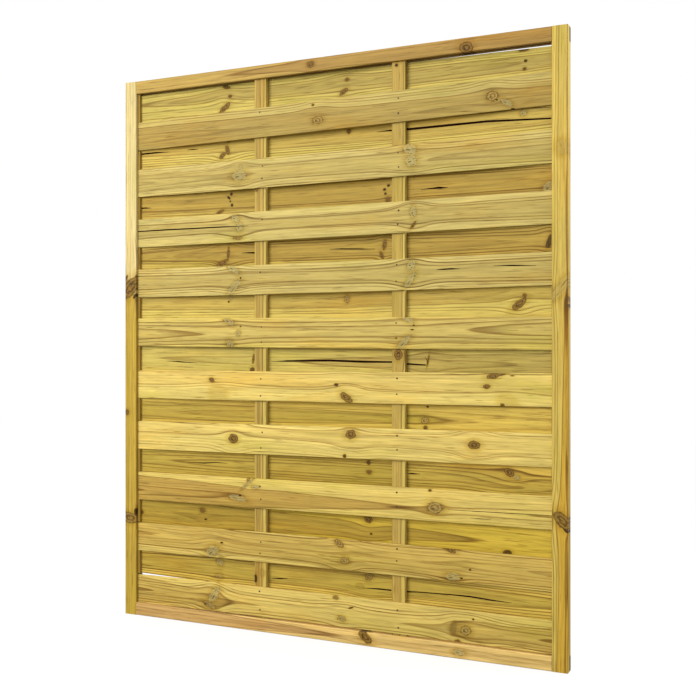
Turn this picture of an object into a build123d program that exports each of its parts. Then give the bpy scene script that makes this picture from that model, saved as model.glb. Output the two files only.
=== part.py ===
from build123d import *
import math
import os

# Woven timber fence panel, in millimetres.
# Two layers of thin boards spring over two upright battens. Their ends share
# one groove in the stiles, and the frame's corners are half-lapped.
# +X runs along the panel, +Y to its back and +Z up. The origin is the centre
# of the left stile's outer side, where the panel meets its post.

# Overall size and the frame's timber
panel_width = 1500.0
panel_height = 1800.0
stile_face = 45.0
rail_face = 42.0
frame_depth = 38.0
arris_radius = 3.0
groove_depth = 12.0

# Boards woven over the battens
slat_thickness = 8.0
front_slat_width = 94.0
back_slat_width = 96.0
slat_edge_chamfer = 1.2
nominal_overlap = 9.0

# Upright battens between the two layers, and how far each stands right of its even place
batten_count = 2
batten_width = 42.0
batten_shifts = [4.0, 7.0]
batten_edge_chamfer = 1.2

# Fillers that keep the board ends apart in the groove, and how far they reach out of it left and right
spacer_reaches = (8.0, 3.0)
spacer_shortest = 20.0

# Clearances
layer_clearance = 0.2
lip_clearance = 0.7
batten_clearance = 0.3
end_clearance = 1.0
seat_clearance = 0.15
row_clearance = 0.3

# How far each board sits above its even place, at its left and right end.
# The boards are nailed by eye, so no two lie quite level. Any more boards
# that a taller panel has lie in their even places.
even_place = (0.0, 0.0)
front_shifts = [(-10.8, 4.1), (1.7, 10.6), (2.9, 12.2), (4.5, 10.6), (11.4, 0.6),
                (6.6, 12.2), (6.5, 14.4), (6.0, 10.2), (6.0, 9.1), (1.6, 6.1)]
back_shifts = [(0.0, -4.2), (-4.6, 7.4), (2.2, 10.4), (3.3, 9.0), (7.7, 4.2),
               (9.1, 6.5), (6.6, 13.3), (6.3, 12.3), (6.3, 7.7), (7.7, 1.0)]

# Sizes that follow
inner_width = panel_width - 2 * stile_face
inner_height = panel_height - 2 * rail_face
half_depth = frame_depth / 2
half_height = panel_height / 2
middle_x = panel_width / 2
groove_width = 2 * slat_thickness + layer_clearance + 2 * lip_clearance
batten_thickness = groove_width - 2 * batten_clearance
batten_spacing = inner_width / (batten_count + 1)
batten_shifts = (batten_shifts + [0.0] * batten_count)[:batten_count]
batten_centres = [stile_face + batten_spacing * (i + 1) + shift for i, shift in enumerate(batten_shifts)]
mean_slat_width = (front_slat_width + back_slat_width) / 2
row_count = round((inner_height - nominal_overlap) / (2 * (mean_slat_width - nominal_overlap)))
stack_height = inner_height - 2 * row_clearance
row_step = (stack_height - mean_slat_width) / (2 * row_count - 1)


def block(low, high):
    """A box between two corners."""
    size = [b - a for a, b in zip(low, high)]
    return Pos(*low) * Box(*size, align=(Align.MIN, Align.MIN, Align.MIN))


def make_stile():
    """The left stile: grooved, and notched behind to take the rails' laps."""
    stile = block((0, -half_depth, -half_height), (stile_face, half_depth, half_height))
    stile = fillet(stile.edges().filter_by(Axis.Z), arris_radius)
    stile -= block((stile_face - groove_depth, -groove_width / 2, -inner_height / 2),
                   (stile_face, groove_width / 2, inner_height / 2))
    for low_z, high_z in ((-half_height, -inner_height / 2), (inner_height / 2, half_height)):
        stile -= block((0, 0, low_z), (stile_face, half_depth, high_z))
    return stile


def make_rail():
    """The top rail: grooved below, with laps that run out behind the stiles."""
    rail = block((0, -half_depth, inner_height / 2), (panel_width, half_depth, half_height))
    rail = fillet(rail.edges().filter_by(Axis.X), arris_radius)
    rail -= block((stile_face, -groove_width / 2, inner_height / 2),
                  (panel_width - stile_face, groove_width / 2, inner_height / 2 + groove_depth))
    for low_x, high_x in ((0, stile_face), (panel_width - stile_face, panel_width)):
        rail -= block((low_x, -half_depth, inner_height / 2), (high_x, 0, half_height))
    return rail


def make_batten(centre_x):
    """An upright batten, with both ends in the rails' grooves."""
    reach = inner_height / 2 + groove_depth - row_clearance
    batten = block((centre_x - batten_width / 2, -batten_thickness / 2, -reach),
                   (centre_x + batten_width / 2, batten_thickness / 2, reach))
    return chamfer(batten.edges().filter_by(Axis.Z), batten_edge_chamfer)


def bow_of_slat():
    """Radius of a board's inner face, the depth of its centre, and its half chord.

    The inner face starts at the groove's middle and touches the outer edge of
    the outermost battens.
    """
    half_chord = inner_width / 2 + groove_depth - end_clearance
    seat = max(abs(centre_x - middle_x) for centre_x in batten_centres) + batten_width / 2
    rise = batten_thickness / 2 + seat_clearance - layer_clearance / 2
    chord_term = (half_chord ** 2 - seat ** 2) / rise
    seat_height = (chord_term + rise) / 2
    end_height = (chord_term - rise) / 2
    return math.hypot(seat_height, seat), end_height - layer_clearance / 2, half_chord


def make_slat(width, centre_z, shift):
    """A front board: an eased strip swept round the arc that it is sprung to."""
    radius, centre_y, half_chord = bow_of_slat()
    half_angle = math.degrees(math.asin(half_chord / radius))
    section_plane = Plane(origin=(middle_x, centre_y - radius - slat_thickness / 2, 0),
                          x_dir=(0, 1, 0), z_dir=(1, 0, 0))
    strip = Rectangle(slat_thickness, width)
    section = section_plane * chamfer(strip.vertices(), slat_edge_chamfer)
    axis = Axis((middle_x, centre_y, 0), (0, 0, 1))
    slat = revolve(section, axis=axis, revolution_arc=2 * half_angle).rotate(axis, -half_angle)
    tilt = math.degrees(math.atan2(shift[1] - shift[0], inner_width))
    slat = slat.rotate(Axis((middle_x, 0, 0), (0, -1, 0)), tilt)
    return Pos(0, 0, centre_z + (shift[0] + shift[1]) / 2) * slat


def row_places(width, first_z, shifts):
    """Width, even height and end shifts of each board in one layer, from the top."""
    shifts = (shifts + [even_place] * row_count)[:row_count]
    return [(width, first_z - 2 * row_step * i, shift) for i, shift in enumerate(shifts)]


def spacer_gaps(places, side):
    """The free lengths of the groove between the board ends of one layer."""
    edges = [inner_height / 2]
    for width, centre_z, shift in places:
        edges += [centre_z + shift[side] + width / 2, centre_z + shift[side] - width / 2]
    edges.append(-inner_height / 2)
    gaps = zip(edges[0::2], edges[1::2])
    return [(high, low) for high, low in gaps if high - low > spacer_shortest]


def make_spacers(places, side, front):
    """The fillers of one layer at one stile, slat-thick and proud of the groove."""
    near_y = layer_clearance / 2
    far_y = near_y + slat_thickness
    low_y, high_y = (-far_y, -near_y) if front else (near_y, far_y)
    low_x = stile_face - groove_depth + row_clearance
    high_x = stile_face + spacer_reaches[side]
    if side == 1:
        low_x, high_x = panel_width - high_x, panel_width - low_x
    pieces = [block((low_x, low_y, low + row_clearance), (high_x, high_y, high - row_clearance))
              for high, low in spacer_gaps(places, side)]
    return Compound(children=pieces)


back_first = inner_height / 2 - row_clearance - back_slat_width / 2
front_last = -inner_height / 2 + row_clearance + front_slat_width / 2
front_places = row_places(front_slat_width, front_last + 2 * row_step * (row_count - 1), front_shifts)
back_places = row_places(back_slat_width, back_first, back_shifts)

parts = {
    "left_stile": make_stile(),
    "top_rail": make_rail(),
}
parts["right_stile"] = Pos(panel_width, 0, 0) * mirror(parts["left_stile"], about=Plane.YZ)
parts["bottom_rail"] = mirror(parts["top_rail"], about=Plane.XY)

for number, centre_x in enumerate(batten_centres, start=1):
    parts[f"middle_batten_{number}"] = make_batten(centre_x)

for number, place in enumerate(front_places, start=1):
    parts[f"front_slat_{number}"] = make_slat(*place)

for number, place in enumerate(back_places, start=1):
    parts[f"back_slat_{number}"] = mirror(make_slat(*place), about=Plane.XZ)

for side, side_name in enumerate(("left", "right")):
    parts[f"front_spacers_{side_name}"] = make_spacers(front_places, side, front=True)
    parts[f"back_spacers_{side_name}"] = make_spacers(back_places, side, front=False)

os.makedirs("parts", exist_ok=True)
for name, shape in parts.items():
    export_step(shape, f"parts/{name}.step")
print(f"{len(parts)} nodes, row step {row_step:.2f} mm, slat radius {bow_of_slat()[0]:.0f} mm")
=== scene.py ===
# %% [markdown]
# # A woven fence panel in treated pine
#
# The real panel is a frame of planed pine with twenty thin boards sprung over
# two upright battens, ten in front and ten behind. This lesson dresses the
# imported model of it: the boards get their true bow, eased edges, drying splits
# and nails, and every piece gets the growth rings of the log it came from.
#
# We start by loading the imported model. Its pieces are the fixed frame that
# everything else is measured from.

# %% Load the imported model
import math

import bpy
import bmesh
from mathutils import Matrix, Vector


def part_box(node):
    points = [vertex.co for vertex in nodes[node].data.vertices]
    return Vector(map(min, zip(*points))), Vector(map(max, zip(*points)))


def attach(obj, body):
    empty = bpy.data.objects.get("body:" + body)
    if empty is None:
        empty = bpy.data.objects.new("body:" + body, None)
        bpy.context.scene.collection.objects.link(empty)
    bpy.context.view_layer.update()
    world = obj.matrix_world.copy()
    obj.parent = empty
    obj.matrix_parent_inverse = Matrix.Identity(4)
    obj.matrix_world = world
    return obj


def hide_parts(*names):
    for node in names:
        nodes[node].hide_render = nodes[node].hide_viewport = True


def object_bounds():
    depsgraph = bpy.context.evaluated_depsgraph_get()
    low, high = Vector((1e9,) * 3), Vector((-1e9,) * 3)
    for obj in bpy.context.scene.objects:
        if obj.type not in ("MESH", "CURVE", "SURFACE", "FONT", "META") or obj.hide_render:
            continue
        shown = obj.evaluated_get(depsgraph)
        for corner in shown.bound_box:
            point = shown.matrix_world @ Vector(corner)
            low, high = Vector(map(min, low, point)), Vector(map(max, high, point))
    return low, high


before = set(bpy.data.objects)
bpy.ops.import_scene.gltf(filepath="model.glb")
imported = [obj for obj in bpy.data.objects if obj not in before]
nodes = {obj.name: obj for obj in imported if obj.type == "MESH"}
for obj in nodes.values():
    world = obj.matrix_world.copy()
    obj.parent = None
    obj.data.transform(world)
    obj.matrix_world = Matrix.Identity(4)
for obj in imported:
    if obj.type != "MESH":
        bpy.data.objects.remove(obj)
cad_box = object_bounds()
MM = 0.001
panel_middle = (cad_box[0] + cad_box[1]) / 2
print("pieces:", len(nodes), "size in m:", [round(v, 3) for v in cad_box[1] - cad_box[0]])

# %% [markdown]
# Colours are easiest to choose as the hex codes that a paint program shows.
# Blender's shaders count light instead, so one function turns a code into
# linear red, green and blue. A second small function adds a node to any tree,
# with its settings and its links, and a third adds one sum. Both keep the long
# node trees readable.

# %% Small helpers
def linear(code):
    """Linear RGBA of a hex colour such as #c8b064."""
    channels = [int(code[i:i + 2], 16) / 255 for i in (1, 3, 5)]
    return [c / 12.92 if c <= 0.04045 else ((c + 0.055) / 1.055) ** 2.4 for c in channels] + [1.0]


def add(tree, kind, feeds=None, **settings):
    """Adds a node. Feeds maps an input to a value, or to a socket to link from."""
    node = tree.nodes.new(kind)
    for name, value in settings.items():
        setattr(node, name, value)
    for name, value in (feeds or {}).items():
        if isinstance(value, bpy.types.NodeSocket):
            tree.links.new(value, node.inputs[name])
        else:
            node.inputs[name].default_value = value
    return node


def maths(tree, operation, first, second=0.0, third=0.0, clamp=False):
    """One sum on two or three values or sockets."""
    feeds = {0: first, 1: second, 2: third}
    return add(tree, "ShaderNodeMath", feeds, operation=operation, use_clamp=clamp).outputs[0]


print("pure white is", linear("#ffffff"))

# %% [markdown]
# The camera stands level with the middle of the panel, to its right, about
# twenty-five degrees round from square on. Its height is the panel's own
# middle, so the uprights stay parallel in the picture while the rails run
# together to the left.

# %% Camera
VIEW_TURN = math.radians(24.472)
CAMERA_PLACE = Vector((2.0837, -2.7707, 0.01))
FOCAL_LENGTH = 51.31
SENSOR_WIDTH = 36.0
LEVEL_SHIFT = -0.004

camera_data = bpy.data.cameras.new("Camera")
camera_data.lens = FOCAL_LENGTH
camera_data.sensor_width = SENSOR_WIDTH
camera_data.shift_y = LEVEL_SHIFT
camera = bpy.data.objects.new("Camera", camera_data)
camera.location = CAMERA_PLACE
camera.rotation_euler = (math.pi / 2, 0, VIEW_TURN)
bpy.context.scene.collection.objects.link(camera)
bpy.context.scene.camera = camera
print("camera distance in m:", round((CAMERA_PLACE - panel_middle).length, 2))

# %% [markdown]
# A cut-out on white needs a white world and a white floor. The world lights
# the wood evenly, at a level that leaves its colours as they are written.
# Light Path tells the rays that show the floor, straight or as a reflection,
# apart from the rays that light the wood. The first find a nearly plain white
# that still takes the panel's shadow. To the wood the floor is a dark one, so
# little light comes from below, and the underside of each board draws a fine
# dark line. A large soft lamp on the left, a little above the middle, gives
# the boards their gloss. A second lamp stands behind on the right, and only
# reaches the side of the right stile and its edge.

# %% Light and floor
SKY_LEVEL = 1.0
SHADOW_SHARE = 0.25
LAMPS = {
    "Soft lamp": {"place": (-1.4, -4.8, 1.9), "power": 260.0, "size": 3.2},
    "Edge lamp": {"place": (2.7, 0.6, 1.1), "power": 20.0, "size": 0.8},
}
FLOOR_SIZE = 14.0
FLOOR_DROP = 0.0005

world = bpy.data.worlds.new("Studio")
bpy.context.scene.world = world
world.use_nodes = True
sky = world.node_tree
sky.nodes.clear()
backdrop = add(sky, "ShaderNodeBackground", {"Color": linear("#ffffff"), "Strength": SKY_LEVEL})
add(sky, "ShaderNodeOutputWorld", {"Surface": backdrop.outputs[0]})

for name, lamp in LAMPS.items():
    lamp_data = bpy.data.lights.new(name, "AREA")
    lamp_data.energy = lamp["power"]
    lamp_data.size = lamp["size"]
    lamp_object = bpy.data.objects.new(name, lamp_data)
    lamp_object.location = lamp["place"]
    lamp_object.rotation_euler = (panel_middle - lamp_object.location).to_track_quat("-Z", "Y").to_euler()
    bpy.context.scene.collection.objects.link(lamp_object)

floor_mesh = bpy.data.meshes.new("Floor")
half = FLOOR_SIZE / 2
corners = [(panel_middle.x + x, y, cad_box[0].z - FLOOR_DROP)
           for x, y in ((-half, -half), (half, -half), (half, half), (-half, half))]
floor_mesh.from_pydata(corners, [], [(0, 1, 2, 3)])
floor = bpy.data.objects.new("Floor", floor_mesh)
bpy.context.scene.collection.objects.link(floor)

paper = bpy.data.materials.new("White paper floor")
paper.use_nodes = True
tree = paper.node_tree
tree.nodes.clear()
dark_sheet = add(tree, "ShaderNodeBsdfDiffuse", {"Color": linear("#6c6c6c")})
white_sheet = add(tree, "ShaderNodeBsdfDiffuse", {"Color": linear("#fcfcfc")})
glow = add(tree, "ShaderNodeEmission", {"Strength": 1.0})
shown = add(tree, "ShaderNodeMixShader", {0: SHADOW_SHARE, 1: glow.outputs[0], 2: white_sheet.outputs[0]})
rays = add(tree, "ShaderNodeLightPath").outputs
seen = maths(tree, "MAXIMUM", rays["Is Camera Ray"], rays["Is Glossy Ray"])
seen = maths(tree, "MAXIMUM", seen, rays["Is Transmission Ray"])
both = add(tree, "ShaderNodeMixShader", {0: seen, 1: dark_sheet.outputs[0], 2: shown.outputs[0]})
add(tree, "ShaderNodeOutputMaterial", {"Surface": both.outputs[0]})
floor_mesh.materials.append(paper)
print("floor height in m:", round(corners[0][2], 4))

# %% [markdown]
# ## Pine, from the log outwards
#
# Pine is striped because it is cut from a cone of growth rings round a pith.
# Painting stripes would look flat at the edges, so the material asks how far
# each point lies from its board's own pith, and divides that distance by the
# ring width. Pale spring wood fades into a dark line of summer wood, then the
# next ring starts. The middle of the log is darker heartwood, and the rest is
# pale sapwood, which the green preservative soaks into. A Noise node bends the
# pith a little, because no trunk is straight.
#
# The group works in a board's own axes, in metres: X runs with the grain, Y
# through the thickness and Z across the face.

# %% Growth rings
def new_group(name, inputs, outputs):
    """An empty shader group with the sockets that are asked for."""
    group = bpy.data.node_groups.new(name, "ShaderNodeTree")
    for socket_name, kind, default in inputs:
        socket = group.interface.new_socket(socket_name, in_out="INPUT", socket_type="NodeSocket" + kind)
        if default is not None:
            socket.default_value = default
    for socket_name, kind in outputs:
        group.interface.new_socket(socket_name, in_out="OUTPUT", socket_type="NodeSocket" + kind)
    return group, add(group, "NodeGroupInput").outputs, add(group, "NodeGroupOutput")


def noise(tree, vector, scale, detail=2.0, roughness=0.5, stretch=(1, 1, 1)):
    """Noise round zero, from -1 to 1, on a stretched copy of the vector."""
    stretched = add(tree, "ShaderNodeVectorMath", {0: vector, 1: stretch}, operation="MULTIPLY").outputs[0]
    feeds = {"Vector": stretched, "Scale": scale, "Detail": detail, "Roughness": roughness}
    value = add(tree, "ShaderNodeTexNoise", feeds).outputs[0]
    return maths(tree, "MULTIPLY_ADD", value, 2.0, -1.0)


def fade(tree, value, low, high):
    """Rises smoothly from 0 to 1 while the value goes from low to high."""
    feeds = {"Value": value, "From Min": low, "From Max": high}
    return add(tree, "ShaderNodeMapRange", feeds, interpolation_type="SMOOTHSTEP").outputs[0]


TRUNK_BEND = 4 * MM
TRUNK_BEND_SCALE = 1.3
RING_JITTER = 0.5
RING_JITTER_SCALE = 7.0
SUMMER_START = 0.45
SUMMER_FULL = 0.92
SUMMER_OVER = 0.93
FAINTEST_SUMMER = 0.15
BORDER_BLUR = 2.0 * MM
BORDER_LINE = 1.8 * MM

rings, ins, outs = new_group(
    "Growth rings",
    [("Vector", "Vector", None), ("Pith Depth", "Float", 0.014), ("Pith Height", "Float", 0.0),
     ("Pith Rise", "Float", 0.0), ("Ring Width", "Float", 0.004), ("Heart Radius", "Float", 0.03),
     ("Heart Growth", "Float", 0.0), ("Heart Flare", "Float", 0.0), ("Sway", "Float", 0.0),
     ("Seed", "Float", 0.0)],
    [("Ring", "Float"), ("Heart", "Float"), ("Border", "Float")])
along, depth, across = add(rings, "ShaderNodeSeparateXYZ", {0: ins["Vector"]}).outputs
shifted = add(rings, "ShaderNodeVectorMath", {0: ins["Vector"], 1: ins["Seed"]}, operation="ADD").outputs[0]
bend = noise(rings, shifted, TRUNK_BEND_SCALE, stretch=(1, 2, 2))
pith_height = maths(rings, "MULTIPLY_ADD", along, ins["Pith Rise"], ins["Pith Height"])
pith_height = maths(rings, "MULTIPLY_ADD", bend, TRUNK_BEND, pith_height)
up = maths(rings, "SUBTRACT", maths(rings, "ADD", across, ins["Sway"]), pith_height)
back = maths(rings, "SUBTRACT", depth, ins["Pith Depth"])
squares = maths(rings, "ADD", maths(rings, "MULTIPLY", up, up), maths(rings, "MULTIPLY", back, back))
radius = maths(rings, "SQRT", squares)
uneven = noise(rings, shifted, RING_JITTER_SCALE, stretch=(0.3, 4, 4))
jitter = maths(rings, "MULTIPLY", uneven, RING_JITTER)
count = maths(rings, "ADD", maths(rings, "DIVIDE", radius, ins["Ring Width"]), jitter)
part = maths(rings, "FRACT", count)
year = maths(rings, "ADD", maths(rings, "FLOOR", count), ins["Seed"])
luck = add(rings, "ShaderNodeTexWhiteNoise", {"W": year}, noise_dimensions="1D").outputs["Value"]
rise = fade(rings, part, SUMMER_START, SUMMER_FULL)
fall = maths(rings, "SUBTRACT", 1.0, fade(rings, part, SUMMER_OVER, 1.0))
good_year = maths(rings, "MULTIPLY_ADD", maths(rings, "POWER", luck, 2.0), 1 - FAINTEST_SUMMER, FAINTEST_SUMMER)
summer = maths(rings, "MULTIPLY", maths(rings, "MULTIPLY", rise, fall), good_year)
heart_radius = maths(rings, "MULTIPLY_ADD", along, ins["Heart Growth"], ins["Heart Radius"])
along_squared = maths(rings, "MULTIPLY", along, along)
heart_radius = maths(rings, "MULTIPLY_ADD", along_squared, ins["Heart Flare"], heart_radius)
from_border = maths(rings, "SUBTRACT", heart_radius, radius)
line = maths(rings, "SUBTRACT", 1.0, fade(rings, maths(rings, "ABSOLUTE", from_border), 0.0, BORDER_LINE))
rings.links.new(summer, outs.inputs["Ring"])
rings.links.new(fade(rings, from_border, -BORDER_BLUR, BORDER_BLUR), outs.inputs["Heart"])
rings.links.new(line, outs.inputs["Border"])
print("ring group:", len(rings.nodes), "nodes")

# %% [markdown]
# A knot is a branch cut across. It shows as a round or oval eye with its own
# fine rings and a dark rim of bark, and the rings of the trunk part and flow
# round it. Each knot is one copy of a small group, fed by the one before it,
# so a board can have as many as it needs. The group hands on the distance to
# the nearest knot, how far the grain is pushed aside, and how dark it is. The
# push draws the point that is looked up towards the knot's own height, and
# that spreads the rings on both sides of it.

# %% Knots
RAGGED_SCALE = 110.0
RAGGEDNESS = 0.3
FLOW_AT_REACH = 0.2
FLOW_FALL = 1.7
FLECK_START = 0.05
FLECK_FULL = 0.22

knot, ins, outs = new_group(
    "Knot",
    [("Vector", "Vector", None), ("Near", "Float", 99.0), ("Sway", "Float", 0.0), ("Dark", "Float", 0.0),
     ("Fleck", "Float", 0.0), ("Place", "Vector", None), ("Turn", "Vector", None), ("Size", "Vector", None),
     ("Reach", "Vector", None), ("Push", "Float", 0.7), ("Own Dark", "Float", 1.0)],
    [("Near", "Float"), ("Sway", "Float"), ("Dark", "Float"), ("Fleck", "Float")])
flat = add(knot, "ShaderNodeVectorMath", {0: ins["Vector"], 1: (1, 0, 1)}, operation="MULTIPLY").outputs[0]
feeds = {"Vector": flat, "Location": ins["Place"], "Rotation": ins["Turn"], "Scale": ins["Size"]}
own = add(knot, "ShaderNodeMapping", feeds, vector_type="TEXTURE").outputs[0]
ragged = noise(knot, ins["Vector"], RAGGED_SCALE, stretch=(1, 0.2, 1))
own_distance = add(knot, "ShaderNodeVectorMath", {0: own}, operation="LENGTH").outputs["Value"]
own_near = maths(knot, "MULTIPLY_ADD", ragged, RAGGEDNESS, own_distance)
feeds = {"Vector": flat, "Location": ins["Place"], "Scale": ins["Reach"]}
wide = add(knot, "ShaderNodeMapping", feeds, vector_type="TEXTURE").outputs[0]
wide_distance = add(knot, "ShaderNodeVectorMath", {0: wide}, operation="LENGTH").outputs["Value"]
bell = maths(knot, "POWER", FLOW_AT_REACH, maths(knot, "POWER", wide_distance, FLOW_FALL))
off_centre = add(knot, "ShaderNodeVectorMath", {0: ins["Place"], 1: flat}, operation="SUBTRACT").outputs[0]
off_height = add(knot, "ShaderNodeSeparateXYZ", {0: off_centre}).outputs[2]
sway = maths(knot, "MULTIPLY_ADD", maths(knot, "MULTIPLY", off_height, bell), ins["Push"], ins["Sway"])
closer = maths(knot, "LESS_THAN", own_near, ins["Near"])
strokes = noise(knot, own, 1.0, detail=3.0, stretch=(1.6, 1, 6.5))
own_fleck = fade(knot, strokes, FLECK_START, FLECK_FULL)
for name, value in (("Dark", ins["Own Dark"]), ("Fleck", own_fleck)):
    change = maths(knot, "MULTIPLY", closer, maths(knot, "SUBTRACT", value, ins[name]))
    knot.links.new(maths(knot, "ADD", ins[name], change), outs.inputs[name])
knot.links.new(maths(knot, "MINIMUM", own_near, ins["Near"]), outs.inputs["Near"])
knot.links.new(sway, outs.inputs["Sway"])
print("knot group:", len(knot.nodes), "nodes")

# %% [markdown]
# The last group mixes the colours. Sapwood and heartwood each have a colour,
# the summer wood darkens both, long streaks of noise stand for the fibres,
# and slow patches of green and brown are left by the preservative. It also
# gives the height of the grain for bump and a little change in roughness.

# %% Colour of treated pine
# Real fibres and resin ducts are finer than a pixel at this distance, so they
# are drawn as streaks that are just coarse enough to show.
FIBRE_WIDTH = 4.5 * MM
FIBRE_LENGTH = 120 * MM
STREAK_WIDTH = 13 * MM
STREAK_LENGTH = 700 * MM
DASH_WIDTH = 3.4 * MM
DASH_LENGTH = 80 * MM
DASH_EDGE = (0.15, 0.5)
PATCH_SIZE = 160 * MM

# How strongly each pattern darkens the wood, or makes it lighter and darker
RING_DEPTH = 0.8
BORDER_DEPTH = 0.65
DASH_DEPTH = 0.55
STAIN_DEPTH = 0.45
STROKE_DEPTH = 0.9
CRACK_DEPTH = 0.75
END_DEPTH = 0.85
JOINT_DEPTH = 0.6
FIBRE_SWING = 0.45
STREAK_SWING = 0.26

SUMMER_WOOD = linear("#94742c")
RESIN_DASH = linear("#876a28")
GREEN_PATCH = linear("#e9efc6")
BROWN_PATCH = linear("#fbe6b4")
PALE_KNOT = linear("#aca26c")
RINGED_KNOT = (linear("#a98a45"), linear("#6a4c18"))
ROUGH_KNOT = (linear("#846224"), linear("#432c08"))
BLACK_KNOT = linear("#2a1a02")
KNOT_CRACK = linear("#221401")
KNOT_BARK = linear("#3a2702")
KNOT_STROKE = linear("#4c421c")
KNOT_STAIN = linear("#d8c460")
END_GRAIN = linear("#4c4838")
# Colour of the painted shade in the joints and inner corners
JOINT_SHADE_COLOUR = linear("#6a4c1c")

# A knot's darkness goes from 0 to 1, and it changes its look between these values
SOUND_TO_DEAD = (0.3, 0.42)
RINGED_TO_ROUGH = (0.42, 0.5)
ROUGH_TO_BLACK = (0.7, 0.95)
STROKES_COME = (0.0, 0.35)
STROKES_GO = (0.42, 0.55)
BODY_COMES = (0.15, 0.5)
FAINTEST_BODY = 0.12
FULLEST_BODY = 0.95

# Fine rings of a knot, and distances from its middle, where 1 is its edge
KNOT_RINGS = 1.9
KNOT_RING_EDGE = (0.4, 0.8)
KNOT_WOBBLE = 0.16
BARK_PLACE = 0.93
BARK_EDGE = (0.04, 0.2)
KNOT_EDGE = (0.85, 1.1)
STAIN_EDGE = (1.0, 2.2)
STROKE_EDGE = (0.9, 1.4)

PINE_ROUGHNESS = 0.58
ROUGHNESS_SWING = 0.06

pine, ins, outs = new_group(
    "Treated pine",
    [("Vector", "Vector", None), ("Seed", "Float", 0.0), ("Ring", "Float", 0.0), ("Heart", "Float", 0.0),
     ("Border", "Float", 0.0), ("Near", "Float", 99.0), ("Dark", "Float", 0.0), ("Fleck", "Float", 0.0),
     ("Sapwood", "Color", None), ("Heartwood", "Color", None), ("Contrast", "Float", 1.0),
     ("End", "Float", 0.0), ("Joint Shade", "Float", 0.0)],
    [("Color", "Color"), ("Height", "Float"), ("Roughness", "Float")])


def tint(tree, factor, first, second, mode="MIX"):
    """Mixes two colours."""
    node = add(tree, "ShaderNodeMix", {0: factor, 6: first, 7: second}, data_type="RGBA", blend_type=mode)
    return node.outputs[2]


def inverse(tree, value):
    """One minus a value."""
    return maths(tree, "SUBTRACT", 1.0, value)


shifted = add(pine, "ShaderNodeVectorMath", {0: ins["Vector"], 1: ins["Seed"]}, operation="ADD").outputs[0]
fibre_stretch = (1 / FIBRE_LENGTH, 1 / FIBRE_WIDTH, 1 / FIBRE_WIDTH)
streak_stretch = (1 / STREAK_LENGTH, 1 / STREAK_WIDTH, 1 / STREAK_WIDTH)
fibres = noise(pine, shifted, 1.0, detail=3.0, roughness=0.65, stretch=fibre_stretch)
broad = noise(pine, shifted, 1.0, detail=2.0, stretch=streak_stretch)
dash_stretch = (1 / DASH_LENGTH, 1 / DASH_WIDTH, 1 / DASH_WIDTH)
dashes = fade(pine, noise(pine, shifted, 1.0, stretch=dash_stretch), *DASH_EDGE)
patches = noise(pine, shifted, 1 / PATCH_SIZE, detail=3.0, stretch=(0.4, 2, 2))
base = tint(pine, ins["Heart"], ins["Sapwood"], ins["Heartwood"])
ring_amount = maths(pine, "MULTIPLY", ins["Ring"], maths(pine, "MULTIPLY", ins["Contrast"], RING_DEPTH))
base = tint(pine, ring_amount, base, SUMMER_WOOD, "MULTIPLY")
base = tint(pine, maths(pine, "MULTIPLY", ins["Border"], BORDER_DEPTH), base, SUMMER_WOOD, "MULTIPLY")
base = tint(pine, maths(pine, "MULTIPLY", dashes, DASH_DEPTH), base, RESIN_DASH, "MULTIPLY")
base = tint(pine, fade(pine, patches, 0.0, 0.8), base, GREEN_PATCH, "MULTIPLY")
base = tint(pine, fade(pine, patches, 0.0, -0.8), base, BROWN_PATCH, "MULTIPLY")
fibre_light = maths(pine, "MULTIPLY", fibres, FIBRE_SWING)
streak_light = maths(pine, "MULTIPLY", broad, STREAK_SWING)
bright = maths(pine, "ADD", 1.0, maths(pine, "ADD", fibre_light, streak_light))
base = add(pine, "ShaderNodeVectorMath", {0: base, "Scale": bright}, operation="SCALE").outputs[0]

# A sound knot is pale and greenish, with short dark strokes along it. A dead
# one is brown with fine rings, nearly black cracks and a rim of bark, and the
# smallest are nearly black all over.
uneven = maths(pine, "MULTIPLY_ADD", ins["Fleck"], KNOT_WOBBLE, ins["Near"])
knot_ring = fade(pine, maths(pine, "FRACT", maths(pine, "MULTIPLY", uneven, KNOT_RINGS)), *KNOT_RING_EDGE)
deep = fade(pine, ins["Dark"], *RINGED_TO_ROUGH)
eye = tint(pine, knot_ring, *RINGED_KNOT)
rough = tint(pine, knot_ring, *ROUGH_KNOT)
rough = tint(pine, maths(pine, "MULTIPLY", ins["Fleck"], CRACK_DEPTH), rough, KNOT_CRACK)
brown = fade(pine, ins["Dark"], *SOUND_TO_DEAD)
core = tint(pine, brown, PALE_KNOT, tint(pine, deep, eye, rough))
core = tint(pine, fade(pine, ins["Dark"], *ROUGH_TO_BLACK), core, BLACK_KNOT)
from_rim = maths(pine, "ABSOLUTE", maths(pine, "SUBTRACT", ins["Near"], BARK_PLACE))
worn = maths(pine, "MULTIPLY_ADD", ins["Fleck"], 0.5, 0.5)
rim = maths(pine, "MULTIPLY", inverse(pine, fade(pine, from_rim, *BARK_EDGE)), worn)
rim = maths(pine, "MULTIPLY", rim, brown)
rim = maths(pine, "MULTIPLY", rim, inverse(pine, maths(pine, "MULTIPLY", deep, 0.6)))
core = tint(pine, rim, core, KNOT_BARK)
inside = inverse(pine, fade(pine, ins["Near"], *KNOT_EDGE))
around = inverse(pine, fade(pine, ins["Near"], *STAIN_EDGE))
base = tint(pine, maths(pine, "MULTIPLY", around, STAIN_DEPTH), base, KNOT_STAIN, "MULTIPLY")
strength = maths(pine, "MULTIPLY_ADD", fade(pine, ins["Dark"], *BODY_COMES), FULLEST_BODY - FAINTEST_BODY,
                 FAINTEST_BODY)
base = tint(pine, maths(pine, "MULTIPLY", inside, strength), base, core)
sound = inverse(pine, fade(pine, ins["Dark"], *STROKES_GO))
sound = maths(pine, "MULTIPLY", sound, fade(pine, ins["Dark"], *STROKES_COME))
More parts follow.
